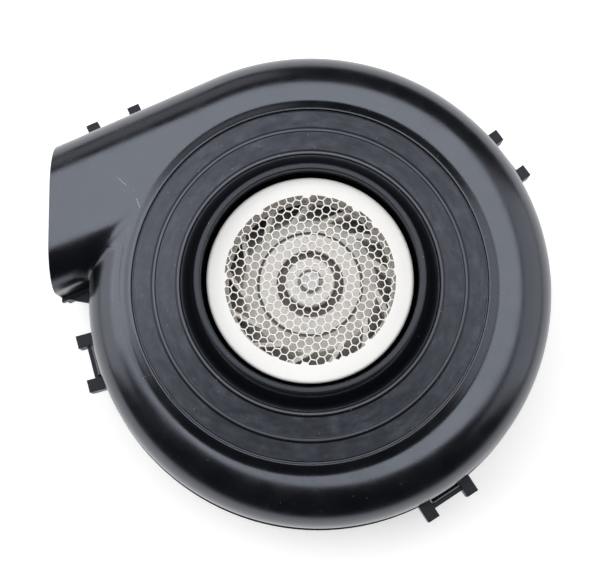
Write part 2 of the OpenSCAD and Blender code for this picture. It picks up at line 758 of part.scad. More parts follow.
module hub_bush() {
    color("#b08d4a") translate([0, 0, high_bearing_z + bearing_w]) difference() {
        union() {
            cylinder(r = 2.7, h = bush_top - high_bearing_z - bearing_w);
            translate([0, 0, yoke_top - 1 - high_bearing_z - bearing_w])
                cylinder(r = bush_r, h = bush_top - yoke_top + 1);
        }
        translate([0, 0, -1]) cylinder(r = shaft_r, h = bush_top);
    }
}

module rotor_cup() {
    color("#9a9da1") rotate_extrude() polygon([[bush_r, yoke_top - 1], [magnet_r, yoke_top - 1],
        [magnet_r, yoke_skirt_z], [yoke_r, yoke_skirt_z], [yoke_r, yoke_top - yoke_bevel],
        [yoke_r - yoke_bevel, yoke_top], [bush_r, yoke_top]]);
}

module rotor_magnet() {
    color("#3d3d40") translate([0, 0, stack_z - 1]) difference() {
        cylinder(r = magnet_r, h = stack_h + 2);
        translate([0, 0, -1]) cylinder(r = magnet_in, h = stack_h + 4);
    }
}

// The hub with its stepped face, the back disc and the blades.
module impeller() {
    face = [[shaft_r, hub_z - 1.5], [shaft_r + 0.5, hub_z - 1.5], [shaft_r + 0.5, hub_z], [4.6, hub_z],
            [4.85, hub_z - 0.25], [5.1, ring_z - 2.8], [6.6, ring_z - 2.8], [6.8, ring_z],
            [10.2, ring_z - 0.7], [10.2, ring_z - 1.6], [10.7, ring_z - 1.6], [10.7, ring_z - 0.9]];
    color("#efede8") {
        rotate_extrude() polygon(concat(face, hub_curve, [[fan_r, disc_z], [nest_r, disc_z],
            [nest_r, yoke_top - yoke_bevel], [nest_r - yoke_bevel, yoke_top], [bush_r, yoke_top],
            [bush_r, bush_top], [shaft_r, bush_top]]));
        intersection() {
            translate([0, 0, disc_z]) linear_extrude(eye_top) impeller_blades();
            rotate_extrude() polygon(concat(shroud_curve, [[fan_r, disc_top - disc_t / 2],
                [root_r, disc_top - disc_t / 2], [root_r, yoke_top - 1], [hub_r - 0.6, yoke_top + 0.8],
                [hub_r - 0.6, hub_rim_z + 0.2], [eye_r - 1, eye_top]]));
        }
    }
}

module impeller_blades() {
    for (i = [0 : blades - 1]) rotate(i * 360 / blades)
        curved_blade(hub_r - 0.4, fan_r, blade_in_a, blade_out_a, blade_t);
}

module impeller_shroud() {
    color("#e6e4df") rotate_extrude() polygon(concat(shroud_curve, [[fan_r, tip_z + shroud_t]],
        flipped(shifted(shroud_curve, shroud_t)), [[eye_r + shroud_t, eye_top]]));
}

module fan_screws() {
    color("#b9bcc0") at_screws() {
        translate([0, 0, lid_top]) difference() {
            cylinder(r = screw_head_r, h = 1.4);
            for (a = [0, 90]) rotate(a) translate([-1.2, -0.25, 0.7]) cube([2.4, 0.5, 1]);
        }
        translate([0, 0, base_z + 0.2]) cylinder(r = screw_r, h = lid_top - base_z - 0.2 + seam);
    }
}

module board_screws() {
    color("#b9bcc0") at_board_posts() {
        translate([0, 0, board_z - small_head_h]) cylinder(r = small_head_r, h = small_head_h);
        translate([0, 0, board_z - seam]) cylinder(r = board_screw_r, h = board_t + standoff_h - 0.2);
    }
}

module cover_screws() {
    flange_z = base_z - flange_t;
    color("#b9bcc0") at_cover_screws() {
        translate([0, 0, flange_z - small_head_h]) cylinder(r = small_head_r, h = small_head_h);
        translate([0, 0, flange_z - seam]) cylinder(r = board_screw_r, h = flange_t + base_t - 1.2);
    }
}

upper_shell();
lower_shell();
bellows();
rear_damper();
inlet_grille();
fan_cover();
diffuser();
base_plate();
bearing_tube();
rear_cover();
control_board();
board_parts();
power_socket();
socket_pins();
stator_core();
insulator(stack_z + stack_h);  // upper_insulator
insulator(stack_z - insulator_t);  // lower_insulator
windings();
preload_washer();
outer_race(high_bearing_z);  // upper_outer_race
outer_race(low_bearing_z);  // lower_outer_race
bearing_cage(high_bearing_z);  // upper_bearing_cage
bearing_balls(high_bearing_z);  // upper_bearing_balls
bearing_cage(low_bearing_z);  // lower_bearing_cage
bearing_balls(low_bearing_z);  // lower_bearing_balls
inner_race(high_bearing_z);  // upper_inner_race
inner_race(low_bearing_z);  // lower_inner_race
shaft();
shaft_clip();
hub_bush();
rotor_cup();
rotor_magnet();
impeller();
impeller_shroud();
fan_screws();
board_screws();
cover_screws();
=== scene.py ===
import bpy
import numpy as np
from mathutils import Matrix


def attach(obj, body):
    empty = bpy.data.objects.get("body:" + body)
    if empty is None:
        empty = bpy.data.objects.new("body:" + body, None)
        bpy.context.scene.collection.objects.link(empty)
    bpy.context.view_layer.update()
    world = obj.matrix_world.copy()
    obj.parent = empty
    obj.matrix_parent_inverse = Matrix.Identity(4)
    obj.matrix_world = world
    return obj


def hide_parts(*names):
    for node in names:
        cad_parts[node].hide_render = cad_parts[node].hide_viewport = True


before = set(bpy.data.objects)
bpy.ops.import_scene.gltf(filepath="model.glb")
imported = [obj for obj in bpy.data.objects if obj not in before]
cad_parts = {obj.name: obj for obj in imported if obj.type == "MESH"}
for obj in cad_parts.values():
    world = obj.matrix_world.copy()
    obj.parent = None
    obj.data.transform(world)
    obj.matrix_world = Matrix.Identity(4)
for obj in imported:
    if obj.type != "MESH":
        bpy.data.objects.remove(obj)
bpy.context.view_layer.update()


# Lower shell: the half of the scroll casing that stands in the machine, with the pan for the motor.
# It is moulded in black glass-filled plastic from a spark-eroded tool, which leaves it dull with a
# fine grain, and its posts hold the hooks of the upper half.


def put(tree, kind, settings=None, **inputs):
    """Adds a shader node: settings are its properties, and each input is a value or an output that
    feeds it. An input goes by its label with _ for a space, or by n and its number."""
    made = tree.nodes.new("ShaderNode" + kind)
    for name, value in (settings or {}).items():
        setattr(made, name, value)
    for name, value in inputs.items():
        number = name[0] == "n" and name[1:].isdigit()
        socket = made.inputs[int(name[1:]) if number else name.replace("_", " ")]
        if isinstance(value, bpy.types.NodeSocket):
            tree.links.new(value, socket)
        else:
            socket.default_value = value
    return made


def reckon(tree, operation, first, second=0.0):
    """The result of one Math node."""
    return put(tree, "Math", {"operation": operation}, n0=first, n1=second).outputs[0]


def ramp(tree, value, low, high, out_low=0.0, out_high=1.0):
    """value carried smoothly from low..high to out_low..out_high, and held there outside."""
    made = put(tree, "MapRange", {"interpolation_type": "SMOOTHSTEP"}, n0=value, n1=low, n2=high,
               n3=out_low, n4=out_high)
    return made.outputs[0]


def tint(tree, mask, under, over, strength=None):
    """The colour under, covered by the colour over as far as mask says, times a strength if given."""
    share = mask if strength is None else reckon(tree, "MULTIPLY", mask, strength)
    return put(tree, "Mix", {"data_type": "RGBA"}, n0=share, n6=under, n7=over).outputs[2]


def effect(name, inputs, outputs):
    """An empty node group with named number inputs and outputs: the group, what it is given, what it
    gives."""
    group = bpy.data.node_groups.new(name, "ShaderNodeTree")
    for label, value in inputs.items():
        socket = group.interface.new_socket(label, in_out="INPUT", socket_type="NodeSocketFloat")
        socket.default_value = value
    for label in outputs:
        group.interface.new_socket(label, in_out="OUTPUT", socket_type="NodeSocketFloat")
    return group, group.nodes.new("NodeGroupInput").outputs, group.nodes.new("NodeGroupOutput").inputs


def apply_effect(tree, group, **inputs):
    """Places a node group in a material with its own values, and returns its outputs."""
    made = tree.nodes.new("ShaderNodeGroup")
    made.node_tree = group
    for name, value in inputs.items():
        made.inputs[name.replace("_", " ")].default_value = value
    return made.outputs


def stuff(name, colour, roughness, **constants):
    """A material with one Principled shader, whose plain values sit on its own sockets."""
    material = bpy.data.materials.new(name)
    material.use_nodes = True
    shader = material.node_tree.nodes["Principled BSDF"]
    shader.inputs["Base Color"].default_value = (*colour, 1)
    shader.inputs["Roughness"].default_value = roughness
    for label, value in constants.items():
        shader.inputs[label.replace("_", " ")].default_value = value
    return material, material.node_tree, shader


def feed(tree, shader, colour=None, roughness=None, height=None, strength=0.1, depth=0.05, round_mm=None):
    """Links a colour, a roughness and a bump of a depth in millimetres to the shader. Where round_mm is
    given, sharp edges shade as if they were rounded by that radius."""
    if colour is not None:
        tree.links.new(colour, shader.inputs["Base Color"])
    if roughness is not None:
        tree.links.new(roughness, shader.inputs["Roughness"])
    if height is not None:
        bump = put(tree, "Bump", Strength=strength, Distance=depth * 0.001, Height=height)
        if round_mm is not None:
            soft = put(tree, "Bevel", {"samples": 4}, Radius=round_mm * 0.001)
            tree.links.new(soft.outputs[0], bump.inputs["Normal"])
        tree.links.new(bump.outputs[0], shader.inputs["Normal"])


def dress(material, *nodes):
    """Gives CAD nodes a material."""
    for name in nodes:
        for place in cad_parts[name].material_slots:
            place.material = material


# Moulded grain: a fine noise for the height, and a broad one for how the gloss wanders.
moulded_grain, given, gives = effect("moulded_grain", {"Pitch mm": 0.3}, ["Height", "Tone"])
spot = put(moulded_grain, "TexCoord").outputs["Object"]
pitch = reckon(moulded_grain, "DIVIDE", 1000.0, given["Pitch mm"])
fine = put(moulded_grain, "TexNoise", Vector=spot, Scale=pitch, Detail=3.0, Roughness=0.65)
broad = put(moulded_grain, "TexNoise", Vector=spot, Scale=95.0, Detail=5.0, Roughness=0.6)
moulded_grain.links.new(fine.outputs[0], gives["Height"])
moulded_grain.links.new(ramp(moulded_grain, broad.outputs[0], 0.3, 0.7), gives["Tone"])

# Settled dust: a film in soft patches on faces that look up, with separate specks in it.
settled_dust, given, gives = effect(
    "settled_dust", {"Patch mm": 6.0, "Speck mm": 0.5, "Rarity": 0.98}, ["Film", "Specks"])
spot = put(settled_dust, "TexCoord").outputs["Object"]
facing = put(settled_dust, "SeparateXYZ", n0=put(settled_dust, "NewGeometry").outputs["Normal"])
upward = ramp(settled_dust, facing.outputs[2], 0.35, 0.95)
patches = put(settled_dust, "TexNoise", Vector=spot, Detail=6.0, Roughness=0.7,
              Scale=reckon(settled_dust, "DIVIDE", 1000.0, given["Patch mm"]))
film = ramp(settled_dust, patches.outputs[0], 0.35, 0.75)
grit = put(settled_dust, "TexVoronoi", Vector=spot,
           Scale=reckon(settled_dust, "DIVIDE", 1000.0, given["Speck mm"]))
chosen = put(settled_dust, "SeparateXYZ", n0=grit.outputs["Color"])
rare = reckon(settled_dust, "GREATER_THAN", chosen.outputs[0], given["Rarity"])
dots = reckon(settled_dust, "MULTIPLY", rare, ramp(settled_dust, grit.outputs["Distance"], 0.28, 0.1))
settled_dust.links.new(reckon(settled_dust, "MULTIPLY", film, upward), gives["Film"])
settled_dust.links.new(reckon(settled_dust, "MULTIPLY", dots, upward), gives["Specks"])

# Worn edges: where a rounded normal leaves the true one, broken up by a noise.
worn_edges, given, gives = effect("worn_edges", {"Width mm": 0.25}, ["Mask"])
rounded = put(worn_edges, "Bevel", {"samples": 4},
              Radius=reckon(worn_edges, "MULTIPLY", given["Width mm"], 0.001)).outputs[0]
straight = put(worn_edges, "NewGeometry").outputs["Normal"]
along = put(worn_edges, "VectorMath", {"operation": "DOT_PRODUCT"}, n0=rounded, n1=straight)
turned = reckon(worn_edges, "SUBTRACT", 1.0, along.outputs["Value"])
rubbing_and_highlight = put(worn_edges, "TexNoise", Vector=put(worn_edges, "TexCoord").outputs["Object"],
             Scale=700.0, Detail=3.0)
worn_edges.links.new(
    reckon(worn_edges, "MULTIPLY", ramp(worn_edges, turned, 0.01, 0.14),
           ramp(worn_edges, rubbing_and_highlight.outputs[0], 0.35, 0.7)), gives["Mask"])


DULL_BLACK, COOL_GLOSS = (0.004, 0.0043, 0.0055), (0.8, 0.86, 1.0, 1.0)
dull_casing, tree, shader = stuff("dull_casing", DULL_BLACK, 0.45, Specular_IOR_Level=0.35,
                                  Specular_Tint=COOL_GLOSS)
grain = apply_effect(tree, moulded_grain, Pitch_mm=0.22)
edge = apply_effect(tree, worn_edges, Width_mm=0.3)["Mask"]
body = tint(tree, edge, (*DULL_BLACK, 1), (0.07, 0.071, 0.075, 1), 0.5)
feed(tree, shader, body, ramp(tree, grain["Tone"], 0.0, 1.0, 0.4, 0.5), grain["Height"], 0.3, 0.03,
     round_mm=0.3)
dress(dull_casing, "lower_shell")


# Rear damper: a soft ring pressed into the pan, so that the motor stands on rubber.
# Black rubber moulded in one piece, dull and slightly bloomed.
DAMPER_BLACK = (0.012, 0.013, 0.016)
damper_rubber, tree, shader = stuff("damper_rubber", DAMPER_BLACK, 0.6, Specular_IOR_Level=0.4)
grain = apply_effect(tree, moulded_grain, Pitch_mm=0.4)
body = tint(tree, grain["Tone"], (*DAMPER_BLACK, 1), (0.05, 0.052, 0.06, 1), 0.3)
feed(tree, shader, body, ramp(tree, grain["Tone"], 0.0, 1.0, 0.5, 0.68), grain["Height"], 0.3, 0.06)
dress(damper_rubber, "rear_damper")


# Rear cover, base plate and diffuser: the frame of the motor and the ring of vanes around the fan.
# All three are moulded in dark nylon with a coarse grain; the cover is screwed to the plate.
dark_nylon, tree, shader = stuff("dark_nylon", (0.02, 0.02, 0.022), 0.5)
grain = apply_effect(tree, moulded_grain, Pitch_mm=0.5)
edge = apply_effect(tree, worn_edges, Width_mm=0.25)["Mask"]
body = tint(tree, grain["Tone"], (0.017, 0.017, 0.019, 1), (0.028, 0.028, 0.03, 1))
body = tint(tree, edge, body, (0.09, 0.09, 0.095, 1), 0.6)
feed(tree, shader, body, ramp(tree, grain["Tone"], 0.0, 1.0, 0.42, 0.56), grain["Height"], 0.3, 0.05)
dress(dark_nylon, "rear_cover", "base_plate", "diffuser")


# Control board with its parts, plug socket and pins: it drives the motor from inside the rear cover.
# Glass laminate under green lacquer, moulded black chips, a cream nylon socket and brass pins.
green_board, tree, shader = stuff("green_board", (0.02, 0.12, 0.05), 0.35)
spot = put(tree, "TexCoord").outputs["Object"]
tracks = put(tree, "TexBrick", {"offset": 0.5, "squash": 0.7}, Vector=spot, Scale=180.0,
             Mortar_Size=0.05, Mortar_Smooth=0.3)
weave = put(tree, "TexNoise", Vector=spot, Scale=2500.0, Detail=2.0)
body = tint(tree, tracks.outputs["Fac"], (0.012, 0.095, 0.035, 1), (0.035, 0.19, 0.085, 1))
feed(tree, shader, body, ramp(tree, weave.outputs[0], 0.3, 0.7, 0.28, 0.42), tracks.outputs["Fac"],
     0.3, 0.03)
dress(green_board, "control_board")

black_resin, tree, shader = stuff("black_resin", (0.018, 0.018, 0.02), 0.55)
grain = apply_effect(tree, moulded_grain, Pitch_mm=0.15)
body = tint(tree, grain["Tone"], (0.014, 0.014, 0.016, 1), (0.03, 0.03, 0.032, 1))
feed(tree, shader, body, ramp(tree, grain["Tone"], 0.0, 1.0, 0.48, 0.62), grain["Height"], 0.4, 0.02)
dress(black_resin, "board_parts")

cream_nylon, tree, shader = stuff("cream_nylon", (0.75, 0.71, 0.6), 0.42, Subsurface_Weight=0.05,
                                  Subsurface_Scale=0.0006)
grain = apply_effect(tree, moulded_grain, Pitch_mm=0.3)
edge = apply_effect(tree, worn_edges, Width_mm=0.2)["Mask"]
body = tint(tree, grain["Tone"], (0.7, 0.66, 0.55, 1), (0.78, 0.745, 0.64, 1))
body = tint(tree, edge, body, (0.86, 0.84, 0.77, 1), 0.4)
feed(tree, shader, body, ramp(tree, grain["Tone"], 0.0, 1.0, 0.36, 0.5), grain["Height"], 0.2, 0.03)
dress(cream_nylon, "power_socket", "upper_insulator", "lower_insulator")


def from_axis(tree):
    """Object coordinates, the same with their height set to zero, and the length of that, which is the
    distance from the fan's axis."""
    spot = put(tree, "TexCoord").outputs["Object"]
    flat = put(tree, "VectorMath", {"operation": "MULTIPLY"}, n0=spot, n1=(1.0, 1.0, 0.0)).outputs[0]
    return spot, flat, put(tree, "VectorMath", {"operation": "LENGTH"}, n0=flat).outputs["Value"]


# Turned lines: fine rings about the fan's axis, as a lathe or a grinder leaves them.
turned_lines, given, gives = effect("turned_lines", {"Line mm": 0.12}, ["Height", "Tone"])
spot, flat, radius = from_axis(turned_lines)
level = put(turned_lines, "SeparateXYZ", n0=spot).outputs[2]
lines = put(turned_lines, "TexNoise", {"noise_dimensions": "2D"}, Detail=2.0,
            Vector=put(turned_lines, "CombineXYZ", n0=radius, n1=level).outputs[0],
            Scale=reckon(turned_lines, "DIVIDE", 1000.0, given["Line mm"]))
blotch = put(turned_lines, "TexNoise", Vector=spot, Scale=220.0, Detail=4.0)
turned_lines.links.new(lines.outputs[0], gives["Height"])
turned_lines.links.new(ramp(turned_lines, blotch.outputs[0], 0.3, 0.7), gives["Tone"])


def turned_metal(name, dull, bright, smooth, rough, line):
    """A metal finished on a lathe: it wanders between a dull and a bright colour and between two
    roughnesses, with rings of a width in millimetres and rubbed edges."""
    metal, tree, shader = stuff(name, bright, smooth, Metallic=1.0)
    rings = apply_effect(tree, turned_lines, Line_mm=line)
    edge = apply_effect(tree, worn_edges, Width_mm=0.12)["Mask"]
    body = tint(tree, rings["Tone"], (*dull, 1), (*bright, 1))
    body = tint(tree, edge, body, (0.9, 0.89, 0.87, 1), 0.5)
    feed(tree, shader, body, ramp(tree, rings["Height"], 0.3, 0.7, smooth, rough), rings["Height"],
         0.15, 0.01)
    return metal


yellow_brass = turned_metal("yellow_brass", (0.6, 0.42, 0.17), (0.76, 0.58, 0.28), 0.22, 0.38, 0.1)
dress(yellow_brass, "socket_pins")


# Bearing tube and bush: the tube stands on the base plate and carries both bearings and the stator,
# and the bush joins the shaft to the rotor cup and the fan. Both are turned from brass bar.
dress(yellow_brass, "bearing_tube", "hub_bush")


# Stator: a stack of stamped steel sheets with an insulating frame on each face and a coil on each arm.
# The cut edges show the sheets; the coils are enamelled copper wire wound in layers.
steel_stack, tree, shader = stuff("steel_stack", (0.45, 0.46, 0.47), 0.4, Metallic=1.0)
spot = put(tree, "TexCoord").outputs["Object"]
sheets = put(tree, "TexWave", {"bands_direction": "Z", "wave_profile": "SAW"}, Vector=spot, Scale=320.0,
             Distortion=0.2)
stain_and_shade_noise = put(tree, "TexNoise", Vector=spot, Scale=260.0, Detail=4.0)
body = tint(tree, sheets.outputs["Fac"], (0.2, 0.2, 0.21, 1), (0.46, 0.47, 0.48, 1))
body = tint(tree, ramp(tree, stain_and_shade_noise.outputs[0], 0.55, 0.8), body, (0.22, 0.17, 0.13, 1))
feed(tree, shader, body, ramp(tree, stain_and_shade_noise.outputs[0], 0.3, 0.7, 0.34, 0.5), sheets.outputs["Fac"],
     0.4, 0.05)
dress(steel_stack, "stator_core")

copper_wire, tree, shader = stuff("copper_wire", (0.62, 0.24, 0.08), 0.3, Metallic=0.9, Coat_Weight=0.4,
                                  Coat_Roughness=0.15)
spot = put(tree, "TexCoord").outputs["Object"]
turns = put(tree, "TexWave", {"bands_direction": "Z"}, Vector=spot, Scale=900.0, Distortion=1.2,
            Detail=1.0, Detail_Scale=1.5)
layer = put(tree, "TexNoise", Vector=spot, Scale=420.0, Detail=3.0)
body = tint(tree, turns.outputs["Fac"], (0.22, 0.065, 0.02, 1), (0.68, 0.28, 0.1, 1))
body = tint(tree, ramp(tree, layer.outputs[0], 0.5, 0.8), body, (0.5, 0.16, 0.05, 1))
feed(tree, shader, body, ramp(tree, layer.outputs[0], 0.3, 0.7, 0.24, 0.4), turns.outputs["Fac"],
     0.7, 0.12)
dress(copper_wire, "windings")


# Bearings: two small ball bearings in the tube, the lower one loaded by a wave washer.
# Ground steel rings and balls with pressed brass cages.
ground_steel = turned_metal("ground_steel", (0.56, 0.57, 0.58), (0.74, 0.745, 0.75), 0.14, 0.26, 0.06)
dress(ground_steel, "upper_outer_race", "lower_outer_race", "upper_inner_race", "lower_inner_race",
      "upper_bearing_balls", "lower_bearing_balls")
pressed_brass = turned_metal("pressed_brass", (0.5, 0.36, 0.16), (0.7, 0.54, 0.27), 0.26, 0.42, 0.2)
dress(pressed_brass, "upper_bearing_cage", "lower_bearing_cage")
plated_spring = turned_metal("plated_spring", (0.42, 0.43, 0.46), (0.62, 0.63, 0.66), 0.25, 0.4, 0.15)
dress(plated_spring, "preload_washer")


# Rotor: shaft, clip, steel cup and the ring magnet inside it. The shaft is ground bar, the cup is
# drawn from sheet and plated, and the magnet is bonded ferrite, dull and speckled.
ground_shaft = turned_metal("ground_shaft", (0.46, 0.455, 0.45), (0.58, 0.575, 0.57), 0.45, 0.6, 0.08)
dress(ground_shaft, "shaft")
dress(plated_spring, "shaft_clip")
drawn_cup = turned_metal("drawn_cup", (0.38, 0.39, 0.4), (0.56, 0.57, 0.58), 0.24, 0.38, 0.3)
dress(drawn_cup, "rotor_cup")

bonded_ferrite, tree, shader = stuff("bonded_ferrite", (0.045, 0.045, 0.048), 0.6)
grain = apply_effect(tree, moulded_grain, Pitch_mm=0.2)
edge = apply_effect(tree, worn_edges, Width_mm=0.2)["Mask"]
body = tint(tree, ramp(tree, grain["Height"], 0.5, 0.75), (0.035, 0.035, 0.038, 1),
            (0.11, 0.11, 0.115, 1))
body = tint(tree, edge, body, (0.18, 0.18, 0.185, 1), 0.5)
feed(tree, shader, body, ramp(tree, grain["Tone"], 0.0, 1.0, 0.5, 0.7), grain["Height"], 0.3, 0.04)
dress(bonded_ferrite, "rotor_magnet")


# Impeller and its shroud: the closed fan that turns behind the honeycomb.
# Off-white plastic, moulded smooth; painted shade in dark brown fills the hub's two grooves and darkens the
# blades.
# A groove has a radius, a half width and where it fades out, in mm; the blades begin between two radii.
HUB_GROOVE, RIM_GROOVE, BLADE_ZONE = (5.8, 0.8, 0.95), (10.45, 0.25, 0.35), (0.0142, 0.0162)


def ring_mask(tree, radius, middle, inside, outside):
    """1 where a radius is within inside of a circle, fading to 0 at outside; all in millimetres."""
    off = reckon(tree, "ABSOLUTE", reckon(tree, "SUBTRACT", radius, middle * 0.001))
    return ramp(tree, off, outside * 0.001, inside * 0.001)


fan_white, tree, shader = stuff("fan_white", (0.87, 0.85, 0.81), 0.38)
grain = apply_effect(tree, moulded_grain, Pitch_mm=0.6)
dirt = apply_effect(tree, settled_dust, Patch_mm=4.0, Speck_mm=0.7)
body = tint(tree, grain["Tone"], (0.84, 0.815, 0.77, 1), (0.9, 0.885, 0.85, 1))
body = tint(tree, dirt["Film"], body, (0.42, 0.35, 0.28, 1), 0.12)
radius = from_axis(tree)[2]
# Painted shade: the hub's two grooves are coloured a near-black brown.
painted_groove_shade = reckon(tree, "MAXIMUM", ring_mask(tree, radius, *HUB_GROOVE),
                 ring_mask(tree, radius, *RIM_GROOVE))
body = tint(tree, painted_groove_shade, body, (0.1, 0.07, 0.055, 1), 0.85)
# Painted shade: brown over the blades, rising from 14.2 to 16.2 mm from the axis and held beyond.
body = tint(tree, ramp(tree, radius, *BLADE_ZONE), body, (0.26, 0.18, 0.135, 1), 0.3)
feed(tree, shader, body, ramp(tree, grain["Tone"], 0.0, 1.0, 0.32, 0.46), grain["Height"], 0.1, 0.03)
dress(fan_white, "impeller", "impeller_shroud")


# Fan cover and the screws: the cover closes the fan to the base plate, with the neck that the rubber
# grips. It is pressed from aluminium sheet; the small screws are plated steel.
pressed_sheet = turned_metal("pressed_sheet", (0.6, 0.6, 0.59), (0.76, 0.76, 0.75), 0.28, 0.44, 0.25)
dress(pressed_sheet, "fan_cover")
dress(plated_spring, "fan_screws", "board_screws", "cover_screws")


# Inlet grille: the pale cap in the middle, with a honeycomb that keeps dirt out of the fan.
# A metal cap with white stoving enamel; brownish painted shade lies in patches on the walls of the cells.
white_enamel, tree, shader = stuff("white_enamel", (0.9, 0.89, 0.875), 0.34)
grain = apply_effect(tree, moulded_grain, Pitch_mm=0.35)
edge = apply_effect(tree, worn_edges, Width_mm=0.08)["Mask"]
facing = put(tree, "SeparateXYZ", n0=put(tree, "NewGeometry").outputs["Normal"])
cell_wall_shade = ramp(tree, facing.outputs[2], 0.5, 0.05)
stain_and_shade_noise = put(tree, "TexNoise", Vector=put(tree, "TexCoord").outputs["Object"], Scale=300.0, Detail=5.0)
body = tint(tree, grain["Tone"], (0.86, 0.85, 0.835, 1), (0.9, 0.895, 0.88, 1))
# Painted shade: the steep walls of the cells turn brownish, in patches set by a noise.
body = tint(tree, reckon(tree, "MULTIPLY", cell_wall_shade, ramp(tree, stain_and_shade_noise.outputs[0], 0.35, 0.7, 0.2, 0.75)),
            body, (0.45, 0.37, 0.29, 1))
body = tint(tree, edge, body, (0.95, 0.95, 0.94, 1), 0.3)
feed(tree, shader, body, ramp(tree, grain["Tone"], 0.0, 1.0, 0.28, 0.4), grain["Height"], 0.12, 0.02)
dress(white_enamel, "inlet_grille")


# Bellows: the rubber sheet that hangs the motor in the casing's opening, with two raised rings and
# a lip that seals on the suction duct. Moulded in one piece; its groove snaps over the shell's edge.
# Dust has dried on it in smears that run round with the rings; a painted highlight lightens the rings' tops,
# and inside the first ring the dust fades out as painted shade on the trough by the lip.
RING_STEPS = 288
BEAD_RINGS, BEAD_RISE, BEAD_MIDDLE = (26.2, 31.25), 0.29, 0.08
LIP_INNER, LIP_OUTER, LIP_TOP = 21.4, 22.65, 47.2


def sheet_height(radius):
    """Top of the rubber sheet: a slope through a few heights, smoothed by averaging over 0.6 mm, plus the
    beads, which rise steeply on their inner side, have a narrow top and fall gently outwards."""
    known = np.array([[22.3, 38.9], [23.0, 38.85], [24.0, 39.3], [25.0, 39.9], [25.8, 40.3],
                      [26.6, 40.35], [28.5, 39.82], [30.4, 39.26], [31.6, 38.9], [33.4, 38.38],
                      [36.0, 37.7]])
    soft = np.mean([np.interp(radius + step, known[:, 0], known[:, 1])
                    for step in np.linspace(-0.3, 0.3, 9)], axis=0)
    away = radius[:, None] - BEAD_RINGS
    return soft + BEAD_RISE * np.interp(away, [-0.3, -0.1, 0.26, 0.75], [0, 1, 1, 0]).sum(1)


def rounded_lip(inner, outer, top, rise, count):
    """Half of a squared ellipse over the lip, from its outer to its inner wall: cosine and sine under a
    square root, so that the top is flat and the corners are round."""
    turn = np.linspace(0, np.pi, count)
    middle, half = (inner + outer) / 2, (outer - inner) / 2
    across = np.sign(np.cos(turn)) * np.sqrt(np.abs(np.cos(turn)))
    return np.stack([middle + half * across, top - rise + rise * np.sqrt(np.abs(np.sin(turn)))], -1)


# The section runs anticlockwise: in over the sheet, up and over the lip, down the neck, out below.
sheet_r = np.linspace(35.6, LIP_OUTER, 150)
sheet_line = np.stack([sheet_r, sheet_height(sheet_r)], -1)
lip_line = np.concatenate([[[LIP_OUTER, 42.0], [LIP_OUTER, 44.5]],
                           rounded_lip(LIP_INNER, LIP_OUTER, LIP_TOP, 0.6, 25),
                           [[LIP_INNER, 44.5], [LIP_INNER, 42.0], [21.2, 40.4], [20.2, 39.6], [20.2, 37.0]]])
under_line = np.array([[20.2, 34.2], [21.5, 34.2], [21.5, 37.8], [23.0, 37.75], [24.6, 37.8],
                       [26.0, 39.45], [28.5, 38.55], [31.0, 37.65], [33.7, 37.05], [33.7, 33.92],
                       [36.54, 33.92], [36.54, 35.02], [34.94, 35.02], [34.94, 37.0], [35.72, 37.0],
                       [35.72, 37.6]])
bellows_line = np.concatenate([sheet_line, lip_line, under_line])


def link_grid(ids):
    """Quads between neighbouring rows and columns of a grid of point numbers."""
    return np.stack([ids[:-1, :-1], ids[:-1, 1:], ids[1:, 1:], ids[1:, :-1]], -1).reshape(-1, 4)


def make_piece(name, points, faces, crease):
    """An object from points in millimetres, shaded smooth except at edges sharper than crease degrees."""
    mesh = bpy.data.meshes.new(name)
    mesh.from_pydata((np.asarray(points) * 0.001).tolist(), [], faces)
    mesh.update()
    mesh.shade_smooth()
    mesh.set_sharp_from_angle(angle=np.radians(crease))
    piece = bpy.data.objects.new(name, mesh)
    bpy.context.scene.collection.objects.link(piece)
    return piece


around = np.linspace(0, 2 * np.pi, RING_STEPS, endpoint=False)
rim, rise = bellows_line[:, :1], bellows_line[:, 1:]
points = np.stack([rim * np.cos(around), rim * np.sin(around), rise + 0 * around], -1)
ids = np.arange(len(bellows_line) * RING_STEPS).reshape(-1, RING_STEPS)
ids = np.pad(ids, ((0, 1), (0, 1)), mode="wrap")
bellows = make_piece("bellows_rubber", points.reshape(-1, 3), link_grid(ids).tolist(), 48)

dusty_rubber, tree, shader = stuff("dusty_rubber", (0.008, 0.01, 0.018), 0.45, Specular_IOR_Level=0.53,
                                   Specular_Tint=COOL_GLOSS)
spot, flat, radius = from_axis(tree)
heading = put(tree, "VectorMath", {"operation": "NORMALIZE"}, n0=flat).outputs[0]
turn = put(tree, "SeparateXYZ", n0=heading)


def polar_noise(turns, rises):
    """A noise on the ring: turns is how fine it is round the ring, rises how fine per millimetre
    outwards."""
    place = put(tree, "CombineXYZ", n0=reckon(tree, "MULTIPLY", turn.outputs[0], turns),
                n1=reckon(tree, "MULTIPLY", turn.outputs[1], turns),
                n2=reckon(tree, "MULTIPLY", radius, rises * 1000))
    return put(tree, "TexNoise", Vector=place.outputs[0], Scale=1.0, Detail=5.0, Roughness=0.65).outputs[0]


streaks = reckon(tree, "ADD", reckon(tree, "MULTIPLY", polar_noise(8.0, 0.7), 0.85),
                 reckon(tree, "MULTIPLY", polar_noise(50.0, 0.4), 0.15))
dust = apply_effect(tree, settled_dust, Patch_mm=5.0, Speck_mm=0.45, Rarity=0.985)
grain = apply_effect(tree, moulded_grain, Pitch_mm=0.3)
smear = reckon(tree, "MULTIPLY", ramp(tree, streaks, 0.34, 0.68),
               ramp(tree, dust["Film"], 0.0, 1.0, 0.35, 1.0))
flatness = put(tree, "SeparateXYZ", n0=put(tree, "NewGeometry").outputs["Normal"]).outputs[2]
